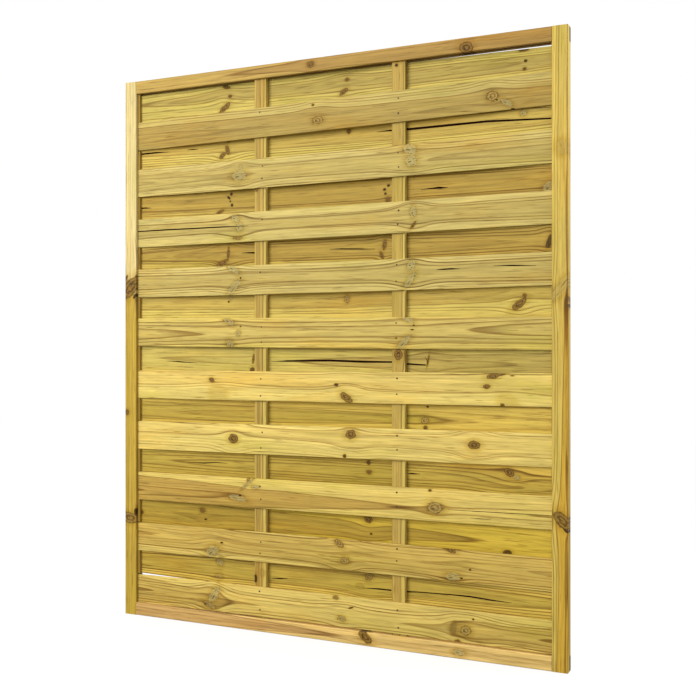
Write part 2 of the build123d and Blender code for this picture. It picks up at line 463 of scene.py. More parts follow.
strokes = maths(pine, "MULTIPLY", inverse(pine, fade(pine, ins["Near"], *STROKE_EDGE)), ins["Fleck"])
strokes = maths(pine, "MULTIPLY", maths(pine, "MULTIPLY", strokes, sound), STROKE_DEPTH)
base = tint(pine, strokes, base, KNOT_STROKE)

# Where the grain runs out at an end, the wood is grey and much darker. A thin painted shade also darkens the joints
# and inner corners, where the wood is shut in, in place of the shade that falls there.
base = tint(pine, maths(pine, "MULTIPLY", ins["End"], END_DEPTH), base, END_GRAIN)
base = tint(pine, maths(pine, "MULTIPLY", ins["Joint Shade"], JOINT_DEPTH), base, JOINT_SHADE_COLOUR, "MULTIPLY")
height = maths(pine, "ADD", maths(pine, "MULTIPLY", ins["Ring"], 0.5), maths(pine, "MULTIPLY", fibres, 0.5))
pine.links.new(base, outs.inputs["Color"])
pine.links.new(height, outs.inputs["Height"])
pine.links.new(maths(pine, "MULTIPLY_ADD", fibres, ROUGHNESS_SWING, PINE_ROUGHNESS), outs.inputs["Roughness"])
print("pine group:", len(pine.nodes), "nodes")

# %% [markdown]
# Every board came from another part of another log, so each has its own
# material: how far behind its face the pith lay, how wide its heart shows at
# each end, its tone and its knots. The heart's radius in the log follows from
# the band that shows, by the triangle of that band's half width and the depth.

# %% A material for one board
GRAIN_BUMP = 0.5 * MM
BUMP_STRENGTH = 0.5
JOINT_REACH = 2.5 * MM
JOINT_OPEN = 0.6
JOINT_SHUT = 0.3
END_FACING = (0.75, 0.95)
RING_SEED_STEP = 7.3
FIBRE_SEED_STEP = 3.1
board_count = 0


def pine_material(name, tone, place, heart=((0, 30), (0, 30)), ring=7.0, knots=(), contrast=1.0, length=1430,
                  upright=False, pith=14, waist=0):
    """Planed, pressure-treated pine: matt, with the grain a little raised.

    Tone names a pair of colours, for the sapwood and the heartwood. Heart gives the
    middle and half width of the dark band at each end, in mm, and a negative
    half width closes the band before that end. Waist says how much the band
    narrows between the ends. Ring width, length and pith depth are in mm too.
    """
    global board_count
    board_count += 1
    material = bpy.data.materials.new(f"Treated pine {name}")
    material.use_nodes = True
    tree = material.node_tree
    tree.nodes.clear()
    turn = (0, math.pi / 2, 0) if upright else (0, 0, 0)
    where = add(tree, "ShaderNodeTexCoord").outputs
    # Painted shade: an Ambient Occlusion node darkens the wood within a few mm of other wood, in the joints and inner
    # corners, where shade falls.
    feeds = {"Distance": JOINT_REACH}
    open_sky = add(tree, "ShaderNodeAmbientOcclusion", feeds, samples=6).outputs["AO"]
    joint_shade = fade(tree, open_sky, JOINT_OPEN, JOINT_SHUT)
    facing = add(tree, "ShaderNodeSeparateXYZ", {0: where["Normal"]}).outputs[2 if upright else 0]
    end = fade(tree, maths(tree, "ABSOLUTE", facing), *END_FACING)
    feeds = {"Vector": where["Object"], "Location": place, "Rotation": turn}
    own = add(tree, "ShaderNodeMapping", feeds, vector_type="TEXTURE").outputs[0]

    chain = {"Near": 99.0, "Sway": 0.0, "Dark": 0.0, "Fleck": 0.0}
    for x, z, long, high, angle, push, dark, reach in knots:
        feeds = {"Vector": own, "Place": (x * MM, 0, z * MM), "Turn": (0, math.radians(angle), 0),
                 "Size": (long * MM, 1, high * MM), "Reach": (reach[0] * MM, 1, reach[1] * MM), "Push": push,
                 "Own Dark": dark, **chain}
        node = add(tree, "ShaderNodeGroup", feeds, node_tree=knot)
        chain = {socket: node.outputs[socket] for socket in chain}

    (left_middle, left_half), (right_middle, right_half) = heart
    left_radius, right_radius = (math.hypot(half, pith) if half > 0 else pith + half
                                 for half in (left_half, right_half))
    feeds = {"Vector": own, "Sway": chain["Sway"], "Pith Depth": pith * MM,
             "Pith Height": (left_middle + right_middle) / 2 * MM,
             "Pith Rise": (right_middle - left_middle) / length,
             "Heart Radius": ((left_radius + right_radius) / 2 - waist) * MM,
             "Heart Growth": (right_radius - left_radius) / length,
             "Heart Flare": waist * MM / (length * MM / 2) ** 2,
             "Ring Width": ring * MM, "Seed": board_count * RING_SEED_STEP}
    grown = add(tree, "ShaderNodeGroup", feeds, node_tree=rings).outputs
    feeds = {"Vector": own, "Seed": board_count * FIBRE_SEED_STEP, "Ring": grown["Ring"], "Heart": grown["Heart"],
             "Border": grown["Border"], "Near": chain["Near"], "Dark": chain["Dark"], "Fleck": chain["Fleck"],
             "Sapwood": linear(TONES[tone][0]), "Heartwood": linear(TONES[tone][1]), "Contrast": contrast,
             "End": end, "Joint Shade": joint_shade}
    wood = add(tree, "ShaderNodeGroup", feeds, node_tree=pine).outputs
    bump = add(tree, "ShaderNodeBump", {"Strength": BUMP_STRENGTH, "Distance": GRAIN_BUMP, "Height": wood["Height"]})
    surface = add(tree, "ShaderNodeBsdfPrincipled",
                  {"Base Color": wood["Color"], "Roughness": wood["Roughness"], "IOR": 1.5,
                   "Specular IOR Level": 0.12, "Normal": bump.outputs[0]})
    add(tree, "ShaderNodeOutputMaterial", {"Surface": surface.outputs[0]})
    return material


# %% [markdown]
# Each board is written down as a carpenter would sort it: tone, heart band at
# the left and right end, ring width, knots and splits. A timber yard has only so
# many tones, so the boards share a small palette of them. Places are in
# millimetres, along the panel from its left side and up from the board's own
# middle line.

# %% The boards, one by one
PANEL_MIDDLE_X = panel_middle.x / MM
WIDE = (75, 62)  # the reach of a knot that parts the grain over most of its board
TONES = {
    "khaki": ("#b4a05a", "#a48c48"),
    "green": ("#c0ac64", "#b09b55"),
    "straw": ("#cab25c", "#bca558"),
    "cream": ("#d8c06a", "#d0b662"),
    "wheat": ("#ceb460", "#bc9f4e"),
    "amber": ("#d0b660", "#b09044"),
    "olive": ("#beaa56", "#aa944a"),
    "brown": ("#b89e4a", "#a68a3c"),
    "honey": ("#c6b058", "#b49a48"),
    "gold": ("#c8ab4c", "#b0963e"),
    "mustard": ("#c2a53a", "#a68a34"),
    "pale": ("#cfbc80", "#b4963a"),
    "ochre": ("#c2a850", "#c09a38"),
    "tan": ("#ae9049", "#a28142"),
    "pink": ("#dab86e", "#c09a5c"),
    "planed": ("#c0a856", "#b2964a"),
    "filler": ("#b89a44", "#a5863a"),
}


def knot_at(x, z, long=7, high=6, angle=0, push=0.6, dark=0.3, reach=None):
    """A knot: where it lies, its half length and half height, how far its long
    axis drops to the right in degrees, how much it parts the grain, how dark it
    is from pale to nearly black, and how far round it the grain flows."""
    return (x - PANEL_MIDDLE_X, z, long, high, angle, push, dark, reach or (long * 4.5, high * 2.4))


def dot(x, z, long=3.2, high=2.8, angle=0, dark=1.0):
    """A small, nearly black spot."""
    return knot_at(x, z, long, high, angle, push=0.2, dark=dark)


FRONT = {
    1: dict(tone="khaki", heart=((-16, 38), (-24, 40)), crook=-3, contrast=0.9,
            knots=[knot_at(711, 34, 5, 4, dark=0.8), knot_at(728, -15, 18, 12, dark=0.42, reach=WIDE), dot(722, -18),
                   knot_at(1283, 3, 18, 15, dark=0.43, reach=WIDE), dot(1283, 2),
                   knot_at(1325, -20, 18, 8, 30), dot(1342, -41, 6, 4), dot(1296, -9)],
            nails=[(522, 33), (995, 24), (995, -21)]),
    2: dict(tone="green", heart=((-4, 26), (0, 32)), crook=-4,
            knots=[knot_at(446, -6, 26, 16, push=0.75, reach=WIDE), knot_at(451, 17, 7, 10), dot(447, -2),
                   knot_at(1032, 31, 21, 15, 20, reach=WIDE),
                   knot_at(1036, -3, 17, 16), dot(1031, 27), dot(1035, -3)],
            nails=[(532, 21), (530, -18), (994, 24), (996, -19)]),
    3: dict(tone="green", heart=((1, 20), (6, 31)), crook=-2.5,
            knots=[knot_at(432, 26, 16, 11, 30, reach=WIDE), knot_at(447, -2, 12, 14, reach=WIDE),
                   knot_at(440, -37, 18, 6, dark=0.45),
                   knot_at(1042, 14, 9, 18, reach=WIDE), dot(1042, 18, dark=0.8), dot(1042, 4, dark=0.7),
                   knot_at(1042, -25, 14, 5, -50, dark=0.7, reach=WIDE)],
            splits=[[(42, 7, 2.6), (160, 7, 3.4), (255, 6, 3.4), (380, 5, 3.0), (480, 3, 0.8)]],
            nails=[(531, 21), (996, 20), (993, -21)]),
    4: dict(tone="green", heart=((0, 22), (5, 34)), crook=-3,
            knots=[knot_at(424, 34, 25, 10, 32, push=0.6, reach=WIDE),
                   knot_at(427, -24, 32, 11, -45, push=0.5, reach=WIDE), dot(451, 6),
                   dot(428, -24, 7, 3, -45), knot_at(1036, 27, 12, 16, 30, reach=WIDE),
                   knot_at(1032, -17, 26, 10, -52, push=0.5, reach=WIDE),
                   dot(1037, 20), dot(1046, -5, 4, 2)],
            splits=[[(1115, 10, 0.8), (1135, 10.5, 3.0), (1160, 11, 3.4), (1187, 10, 0.8)],
                    [(1286, 14, 0.8), (1340, 13, 3.0), (1408, 10, 0.8)]],
            nails=[(524, 23), (990, 30), (988, -20)]),
    5: dict(tone="straw", heart=((0, 38), (6, 40)), crook=0, pith=30,
            knots=[knot_at(408, 38, 22, 11, 25, push=0.5, dark=0.36, reach=WIDE), dot(451, 22, dark=0.8),
                   knot_at(443, 1, 9, 10, dark=0.35),
                   knot_at(412, -35, 14, 16, -60, push=0.5, dark=0.36, reach=WIDE),
                   knot_at(1022, 44, 26, 11, 35, push=0.5, reach=WIDE),
                   dot(1044, 21), dot(1039, 8, 6, 2),
                   knot_at(1013, -29, 28, 11, -42, push=0.5, dark=0.34, reach=WIDE), dot(988, -17, dark=0.7)],
            nails=[(528, 18), (528, -30), (988, 30)]),
    6: dict(tone="cream", heart=((20, 22), (16, 30)), crook=0, contrast=0.8, ring=9,
            knots=[knot_at(342, 16, 11, 8, 20, dark=0.6), knot_at(368, -30, 26, 20, dark=0.0, push=0.9),
                   knot_at(791, 8, 7, 5, dark=0.85),
                   knot_at(825, -31, 24, 12, 34, push=0.8, dark=0.48, reach=WIDE),
                   knot_at(1284, 40, 20, 8, -8, dark=0.6),
                   dot(1308, 44, 14, 2.5, -8, dark=0.8), dot(1341, 42, 7, 1.5), knot_at(1266, 10, 11, 7, dark=0.65),
                   knot_at(1314, -42, 9, 7, dark=0.6), knot_at(1330, -40, 26, 18, 38, push=0.9, dark=0.05)],
            nails=[(526, 23), (525, -31), (991, 29), (990, -18)]),
    7: dict(tone="cream", heart=((26, 18), (10, 30)), crook=1, contrast=0.8, ring=9,
            knots=[knot_at(424, -2, 18, 16, push=0.9, dark=0.75, reach=WIDE),
                   knot_at(840, 27, 18, 14, -15, push=0.8, dark=0.6, reach=WIDE),
                   knot_at(819, -40, 6, 6, dark=0.85), knot_at(1229, 10, 18, 13, push=0.9, dark=0.75, reach=WIDE)],
            nails=[(531, 23), (526, -27), (991, 27), (991, -15)]),
    8: dict(tone="amber", heart=((-18, 50), (-8, -8)), crook=2, contrast=1.2,
            knots=[knot_at(481, 42, 6, 13, 20, dark=0.45), knot_at(478, 28, 30, 5, -38, dark=0.36),
                   knot_at(506, 20, 14, 7, dark=0.34), dot(449, -11, 5, 4),
                   knot_at(440, -20, 34, 10, 10), knot_at(1095, 44, 6, 4, dark=0.8),
                   knot_at(1110, -6, 24, 18, push=0.8, dark=0.39, reach=(80, 36)),
                   knot_at(1110, -6, 8, 7, dark=0.2), dot(1110, -7, 2.5, 2.5)],
            splits=[[(1150, -10, 0.6), (1250, -9, 1.5), (1350, -8, 1.5), (1445, -6, 1.0)],
                    [(1215, -29, 0.6), (1245, -29.5, 1.5), (1280, -30, 0.6)]],
            nails=[(523, 23), (526, -18), (990, 31), (990, -11)]),
    9: dict(tone="wheat", heart=((8, 38), (2, 46)), crook=5, contrast=1.2,
            knots=[dot(380, 3, 6, 3), knot_at(343, -28, 26, 16, -30, push=0.8, reach=WIDE),
                   knot_at(366, -36, 20, 5, 20, dark=0.36),
                   knot_at(801, 36, 17, 10, 35, dark=0.45, reach=WIDE),
                   knot_at(821, -15, 15, 11, push=0.8, dark=0.4, reach=WIDE), dot(821, -15, 2.5, 2.5),
                   knot_at(871, 14, 26, 2.5, 5, dark=0.0), knot_at(1156, 46, 20, 8, 20, dark=0.5, reach=WIDE),
                   dot(1217, -7), dot(1191, -34, 4, 3),
                   knot_at(1165, -32, 22, 12, push=0.8, reach=WIDE)],
            nails=[(526, 16), (523, -20), (991, 33), (990, -3)]),
    10: dict(tone="wheat", heart=((-8, 46), (-12, 36)), waist=33, crook=6.6, contrast=1.1,
             knots=[knot_at(352, 6, 30, 14, -50, push=0.8, dark=0.3, reach=WIDE),
                    knot_at(334, -30, 26, 8, 20, dark=0.38, reach=WIDE),
                    knot_at(318, -27, 7, 5, dark=0.8), knot_at(790, 43, 10, 7, dark=0.46), dot(840, 17, 9, 2.5, -15),
                    knot_at(809, -19, 14, 9, 10, dark=0.38, reach=WIDE),
                    knot_at(1204, -10, 16, 14, push=0.9, dark=0.4, reach=(110, 66)), dot(1204, -10), dot(1226, 25),
                    knot_at(1166, -8, 6, 16, 12, dark=0.1, push=0.3),
                    knot_at(1179, -45, 10, 7, dark=0.6)],
             nails=[(521, 33), (523, -25), (992, 24), (995, -28)]),
}
BACK = {
    1: dict(tone="olive", heart=((14, 18), (4, 26)), crook=5.5, contrast=1.1,
            knots=[knot_at(384, 44, 14, 7, 20, dark=0.8), knot_at(398, 12, 8, 5, dark=0.8),
                   knot_at(378, -24, 26, 9, -38, push=0.8, dark=0.5, reach=WIDE),
                   knot_at(815, 21, 8, 6, dark=0.7), knot_at(804, -15, 16, 8, -35, dark=0.55, reach=WIDE),
                   knot_at(1370, 42, 16, 5, dark=0.8),
                   dot(1376, 10, 5, 4), knot_at(1373, -12, 6, 5, dark=0.8)]),
    2: dict(tone="honey", heart=((22, 22), (14, 30)), crook=0, contrast=1.1,
            knots=[dot(392, 34, 4, 4), knot_at(388, 5, 8, 16, -15, dark=0.55, reach=WIDE),
                   knot_at(369, -12, 14, 8, -30, dark=0.5), knot_at(821, 28, 8, 8, dark=0.5),
                   dot(821, 24), knot_at(1370, 30, 10, 10, dark=0.35)],
            splits=[[(42, 23, 4.5), (110, 23, 4.0), (162, 22, 0.8)],
                    [(234, 22, 0.8), (256, 21.5, 2.8), (278, 21, 0.8)],
                    [(915, 16, 0.8), (966, 16, 4.0), (1023, 14, 5.5), (1145, 13, 5.5), (1262, 12, 5.0),
                     (1359, 6, 4.0), (1458, 0, 3.6)]]),
    3: dict(tone="brown", heart=((10, 34), (6, 36)), crook=0, contrast=1.1,
            knots=[dot(403, 26, 5, 5), dot(393, 15, 7, 4, 40), dot(399, 3), dot(405, -10, 5, 5),
                   knot_at(360, -30, 16, 6, -20, dark=0.5),
                   dot(953, 18, 5, 4), dot(940, 7, 5, 4), dot(943, -6, 4, 4), knot_at(951, -26, 8, 10, dark=0.5),
                   knot_at(1442, -19, 18, 14, -30, dark=0.35)],
            splits=[[(42, 4, 3.2), (70, 3, 3.2), (92, 2, 0.8)],
                    [(1056, -3, 0.8), (1090, -2.5, 3.0), (1115, -2, 5.0), (1143, -3, 0.8)]]),
    4: dict(tone="brown", heart=((4, 24), (4, 40)), crook=0, contrast=1.2,
            knots=[knot_at(391, 2, 5, 24, 5, dark=0.55, reach=WIDE),
                   knot_at(368, -26, 24, 9, -25, dark=0.6, reach=WIDE), knot_at(940, 10, 7, 16, 10, dark=0.65),
                   knot_at(931, -22, 6, 14, -20, dark=0.7), knot_at(1445, -2, 9, 22, 20, dark=0.85)],
            splits=[[(440, 5, 0.8), (470, 5, 3.4), (492, 4, 4.8), (500, 4, 0.8)],
                    [(756, 4, 0.8), (800, 3, 3.0), (860, 0, 2.8), (909, -2, 0.8)]]),
    5: dict(tone="honey", heart=((20, 30), (24, 26)), crook=0, contrast=1.1,
            knots=[dot(393, 18, 4, 3), knot_at(400, 32, 5, 10), knot_at(815, 19, 9, 12, dark=0.4), dot(815, 19),
                   knot_at(1373, 18, 7, 6, dark=0.7),
                   knot_at(1357, -6, 26, 11, -35, push=0.8, dark=0.55, reach=WIDE)]),
    6: dict(tone="olive", heart=((0, -20), (-12, 38)), crook=0, contrast=1.3,
            knots=[knot_at(485, 2, 5, 16, 10, dark=0.75), knot_at(480, -34, 10, 8, -30, dark=0.8),
                   knot_at(1080, -2, 3.2, 18, 12, dark=0.75, reach=WIDE)],
            splits=[[(156, -9, 0.8), (210, -11, 3.0), (273, -14, 0.8)],
                    [(550, -7, 0.8), (617, -5, 4.2), (757, -2, 5.2), (870, -5, 5.2), (963, -5, 4.0), (1009, -10, 4.4),
                     (1073, -13, 3.2)], [(1070, 12, 0.8), (1078, -2, 3.6), (1081, -16, 0.8)]]),
    7: dict(tone="gold", heart=((-6, 34), (-10, -3)), crook=0, contrast=1.2, ring=10,
            knots=[knot_at(40, 7, 9, 8, dark=0.8), dot(1079, 31, 4, 3), knot_at(1071, -10, 12, 10, dark=0.4),
                   dot(1071, -10), knot_at(1072, -32, 7, 7, dark=0.75)]),
    8: dict(tone="gold", heart=((0, 46), (-6, 28)), crook=0, contrast=1.2,
            knots=[knot_at(887, 27, 7, 7, dark=0.8), knot_at(889, -2, 10, 7, dark=0.5),
                   knot_at(1328, 21, 16, 11, 35, push=0.9, dark=0.7, reach=(120, 60)),
                   knot_at(1350, 8, 9, 7, dark=0.35)],
            splits=[[(235, -2, 0.8), (300, -1, 2.8), (344, 3, 2.2), (388, 2, 0.8)],
                    [(305, 25, 0.8), (306, -10, 2.6), (306, -40, 0.8)],
                    [(1012, 0, 0.8), (1030, 0, 3.4), (1055, 0, 0.8)]]),
    9: dict(tone="mustard", heart=((0, 46), (-12, -2)), crook=0, contrast=1.2, ring=10,
            knots=[knot_at(52, -8, 10, 8, dark=0.8), knot_at(294, 14, 11, 9, dark=0.7, reach=WIDE),
                   dot(306, -15, 5, 3), knot_at(887, 27, 15, 12, push=0.8, dark=0.55, reach=WIDE),
                   dot(890, 22, 4, 4), dot(896, -17, 4, 3), knot_at(1323, -36, 13, 8, dark=0.85)]),
    10: dict(tone="gold", heart=((4, 32), (4, 24)), crook=-9, contrast=1.3,
             knots=[knot_at(360, 22, 13, 11, 40, dark=0.35), knot_at(357, -24, 12, 10, dark=0.2),
                    knot_at(496, 24, 5, 8, -30, dark=0.95),
                    knot_at(889, 24, 14, 10, -25, push=0.8, dark=0.45, reach=WIDE),
                    knot_at(858, -6, 10, 6, dark=0.15)],
             splits=[[(551, -11, 0.8), (580, -8, 3.0), (609, -5, 0.8)],
                     [(866, -8, 0.8), (925, -5, 3.6), (963, -5, 3.2)],
                     [(1009, -4, 3.4), (1044, -2, 2.4), (1149, 1, 2.6), (1210, 1, 3.6), (1276, -3, 3.0),
                      (1335, -5, 0.8)]]),
}
knot_total = sum(len(board["knots"]) for board in [*FRONT.values(), *BACK.values()])
print("boards:", len(FRONT) + len(BACK), "knots:", knot_total)

# %% [markdown]
# ## Boards that spring over the battens
#
# A board's shape follows a rule. Seen from above it is an arc, held back in
# the grooves at its ends and pushed out over the battens, and from the front
# it may rise a little towards one end. That makes it a good job for Geometry
# Nodes: a line is bent along the rule, and an eased rectangle is run along it.
# Each board then only needs its own numbers, and those are read from the
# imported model.

# %% The bowed board as a node tree
LINE_POINTS = 73
SAWN_WAVE = 0.35 * MM
SAWN_WAVE_SCALE = 9.0
EDGE_EASE = 1.2 * MM
EASE_POINTS = 3
MEAN_OF_CROOK = 0.6  # a crooked board lies partly above its straight line and partly below


def new_geometry_tree(name, inputs, takes_points=False):
    """An empty geometry tree with named inputs and one geometry output."""
    tree = bpy.data.node_groups.new(name, "GeometryNodeTree")
    if takes_points:
        tree.interface.new_socket("Points", in_out="INPUT", socket_type="NodeSocketGeometry")
    for socket_name, kind in inputs:
        tree.interface.new_socket(socket_name, in_out="INPUT", socket_type="NodeSocket" + kind)
    tree.interface.new_socket("Geometry", in_out="OUTPUT", socket_type="NodeSocketGeometry")
    return tree, add(tree, "NodeGroupInput").outputs, add(tree, "NodeGroupOutput")


bowed, ins, outs = new_geometry_tree(
    "Bowed board",
    [("Left X", "Float"), ("Right X", "Float"), ("Thickness", "Float"), ("Width", "Float"), ("End Y", "Float"),
     ("Middle Y", "Float"), ("Left Z", "Float"), ("Right Z", "Float"), ("Crook", "Float"), ("Seed", "Float"),
     ("Material", "Material")])
line = add(bowed, "GeometryNodeCurvePrimitiveLine", {"Start": (-1, 0, 0), "End": (1, 0, 0)})
line = add(bowed, "GeometryNodeResampleCurve", {"Curve": line.outputs[0], "Count": LINE_POINTS})
share = add(bowed, "ShaderNodeSeparateXYZ", {0: add(bowed, "GeometryNodeInputPosition").outputs[0]}).outputs[0]
rise = maths(bowed, "SUBTRACT", 1.0, maths(bowed, "MULTIPLY", share, share))
side = maths(bowed, "MULTIPLY_ADD", share, 0.5, 0.5)
span = maths(bowed, "SUBTRACT", ins["Right X"], ins["Left X"])
place_x = maths(bowed, "MULTIPLY_ADD", span, side, ins["Left X"])
place_y = maths(bowed, "MULTIPLY_ADD", maths(bowed, "SUBTRACT", ins["Middle Y"], ins["End Y"]), rise, ins["End Y"])
climb = maths(bowed, "SUBTRACT", ins["Right Z"], ins["Left Z"])
straight_z = maths(bowed, "MULTIPLY_ADD", climb, side, ins["Left Z"])
place_z = maths(bowed, "MULTIPLY_ADD", ins["Crook"], maths(bowed, "SUBTRACT", rise, MEAN_OF_CROOK), straight_z)
place = add(bowed, "ShaderNodeCombineXYZ", {0: place_x, 1: place_y, 2: place_z}).outputs[0]
bent = add(bowed, "GeometryNodeSetPosition", {"Geometry": line.outputs[0], "Position": place})
level_up = add(bowed, "GeometryNodeSetCurveNormal", {"Curve": bent.outputs[0]}, mode="Z_UP")
shape = add(bowed, "GeometryNodeCurvePrimitiveQuadrilateral", {"Width": ins["Thickness"], "Height": ins["Width"]})
feeds = {"Curve": shape.outputs[0], "Radius": EDGE_EASE, "Count": EASE_POINTS}
eased = add(bowed, "GeometryNodeFilletCurve", feeds, mode="POLY")
solid = add(bowed, "GeometryNodeCurveToMesh", {"Curve": level_up.outputs[0], "Profile Curve": eased.outputs[0],
                                               "Fill Caps": True})
seeded = add(bowed, "ShaderNodeVectorMath",
             {0: add(bowed, "GeometryNodeInputPosition").outputs[0], 1: ins["Seed"]}, operation="ADD").outputs[0]
wave = add(bowed, "ShaderNodeTexNoise", {"Vector": seeded, "Scale": SAWN_WAVE_SCALE, "Detail": 2.0}).outputs[0]
wave_z = maths(bowed, "MULTIPLY", maths(bowed, "SUBTRACT", wave, 0.5), SAWN_WAVE * 2)
offset = add(bowed, "ShaderNodeCombineXYZ", {2: wave_z}).outputs[0]
sawn = add(bowed, "GeometryNodeSetPosition", {"Geometry": solid.outputs[0], "Offset": offset})
painted = add(bowed, "GeometryNodeSetMaterial", {"Geometry": sawn.outputs[0], "Material": ins["Material"]})
real = add(bowed, "GeometryNodeRealizeInstances", {"Geometry": painted.outputs[0]})
bowed.links.new(real.outputs[0], outs.inputs[0])
print("board tree:", len(bowed.nodes), "nodes")

# %% [markdown]
# A tree is run by giving it to an empty mesh as a modifier. The inputs are set
# by the identifiers of their sockets, the result is taken from the evaluated
# object as a plain mesh, and the modifier goes away with the helper object.

# %% Run a tree and keep its mesh
def run_tree(name, tree, values, points=()):
    """The mesh that a geometry tree makes from these input values, as a new object."""
    start = bpy.data.meshes.new(name + "_helper")
    start.from_pydata(list(points), [], [])
    helper = bpy.data.objects.new(name + "_helper", start)
    bpy.context.scene.collection.objects.link(helper)
    modifier = helper.modifiers.new("Tree", "NODES")
    modifier.node_group = tree
    for item in tree.interface.items_tree:
        if item.in_out == "INPUT" and item.name in values:
            modifier[item.identifier] = values[item.name]
    bpy.context.view_layer.update()
    depsgraph = bpy.context.evaluated_depsgraph_get()
    mesh = bpy.data.meshes.new_from_object(helper.evaluated_get(depsgraph))
    bpy.data.objects.remove(helper)
    mesh.name = name
    piece = bpy.data.objects.new(name, mesh)
    bpy.context.scene.collection.objects.link(piece)
    return piece


def face_outwards(mesh):
    """Makes every face of a closed mesh point outwards, and returns its volume."""
    work = bmesh.new()
    work.from_mesh(mesh)
    bmesh.ops.recalc_face_normals(work, faces=work.faces)
    volume = work.calc_volume(signed=True)
    if volume < 0:
        bmesh.ops.reverse_faces(work, faces=work.faces)
    work.to_mesh(mesh)
    work.free()
    return abs(volume)


print("numbers that a board needs:", len(bowed.interface.items_tree) - 2)

# %% [markdown]
# Thin pine splits as it dries: fine, nearly black checks that run with the grain. They are cut as real wedges, widest
# at the face and closed at the bottom, so that they catch the light like the real ones. The wedge is drawn point by
# point along its path and taken away by a Boolean modifier, and the wood inside it is painted nearly black: a painted
# shade for the dark deep in the narrow crack.

# %% Drying splits
SPLIT_DEPTH = 5.5 * MM
SPLIT_LIFT = 1.0 * MM
SPLIT_SPREAD = 1.3
SHARP_ANGLE = math.radians(40)

# Painted shade: the inside of a split is coloured nearly black, for the dark deep in the crack.
split_shade = bpy.data.materials.new("Painted shade inside a split")
split_shade.use_nodes = True
shade = split_shade.node_tree.nodes["Principled BSDF"]
for name, value in {"Base Color": linear("#2c130a"), "Roughness": 0.9, "Specular IOR Level": 0.05}.items():
    shade.inputs[name].default_value = value


def split_wedge(path, face_y, middle_z):
    """A closed wedge along a split in a front face, which looks to -Y."""
    work = bmesh.new()
    stations = []
    for x, z, width in path:
        x, z, width = x * MM, z * MM + middle_z(x * MM), width * SPLIT_SPREAD * MM
        y = face_y(x)
        lift = SPLIT_LIFT / SPLIT_DEPTH
        half_width = width / 2 * (1 + lift)
        top = work.verts.new((x, y - SPLIT_LIFT, z + half_width))
        low = work.verts.new((x, y - SPLIT_LIFT, z - half_width))
        deep = work.verts.new((x, y + SPLIT_DEPTH, z))
        stations.append((top, low, deep))
    for near, far in zip(stations, stations[1:]):
        for i in range(3):
            j = (i + 1) % 3
            work.faces.new((near[i], near[j], far[j], far[i]))
    work.faces.new(stations[0])
    work.faces.new(stations[-1])
    mesh = bpy.data.meshes.new("split")
    work.to_mesh(mesh)
    work.free()
    face_outwards(mesh)
    mesh.materials.append(split_shade)
    cutter = bpy.data.objects.new("split", mesh)
    bpy.context.scene.collection.objects.link(cutter)
    return cutter


def cut(piece, cutters):
    """Takes the cutters away from a piece and leaves a plain mesh."""
    for cutter in cutters:
        modifier = piece.modifiers.new("Cut", "BOOLEAN")
        modifier.object = cutter
        modifier.operation = "DIFFERENCE"
        modifier.solver = "EXACT"
        modifier.material_mode = "TRANSFER"
    bpy.context.view_layer.update()
    mesh = bpy.data.meshes.new_from_object(piece.evaluated_get(bpy.context.evaluated_depsgraph_get()))
    piece.modifiers.clear()
    piece.data = mesh
    for cutter in cutters:
        bpy.data.objects.remove(cutter)


print("split depth in mm:", SPLIT_DEPTH / MM)

# %% [markdown]
# Now the boards themselves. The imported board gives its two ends, its bow and
# its width. Halfway between its highest and lowest corners at each end lies
# the board's middle line, and so its slope follows.

# %% Make the boards
SLAT_THICKNESS = 8.0 * MM
END_BAND = 20 * MM
BOARD_SEED_STEP = 5.7
LOOKS = ("tone", "heart", "knots", "contrast", "ring", "pith", "waist")
REAR_NAILS = [(523, 22), (525, -21), (992, 23), (990, -22)]


def measure_slat(node):
    """Ends, heights, width and bow of a packed board, and -1 for a front board or 1 for a back one."""
    points = [v.co.copy() for v in nodes[node].data.vertices]
    low_x, high_x = min(p.x for p in points), max(p.x for p in points)
    ends = [[p for p in points if p.x < low_x + END_BAND], [p for p in points if p.x > high_x - END_BAND]]
    heights = [(min(p.z for p in end) + max(p.z for p in end)) / 2 for end in ends]
    width = max(p.z for p in ends[0]) - min(p.z for p in ends[0])
    sign = 1 if sum(p.y for p in points) > 0 else -1
    far_y = max(sign * p.y for p in points) * sign
    near_y = min(sign * p.y for p in points) * sign
    return {"Left X": low_x, "Right X": high_x, "Left Z": heights[0], "Right Z": heights[1], "Width": width,
            "Thickness": SLAT_THICKNESS, "Middle Y": far_y - sign * SLAT_THICKNESS / 2,
            "End Y": near_y + sign * SLAT_THICKNESS / 2}, sign


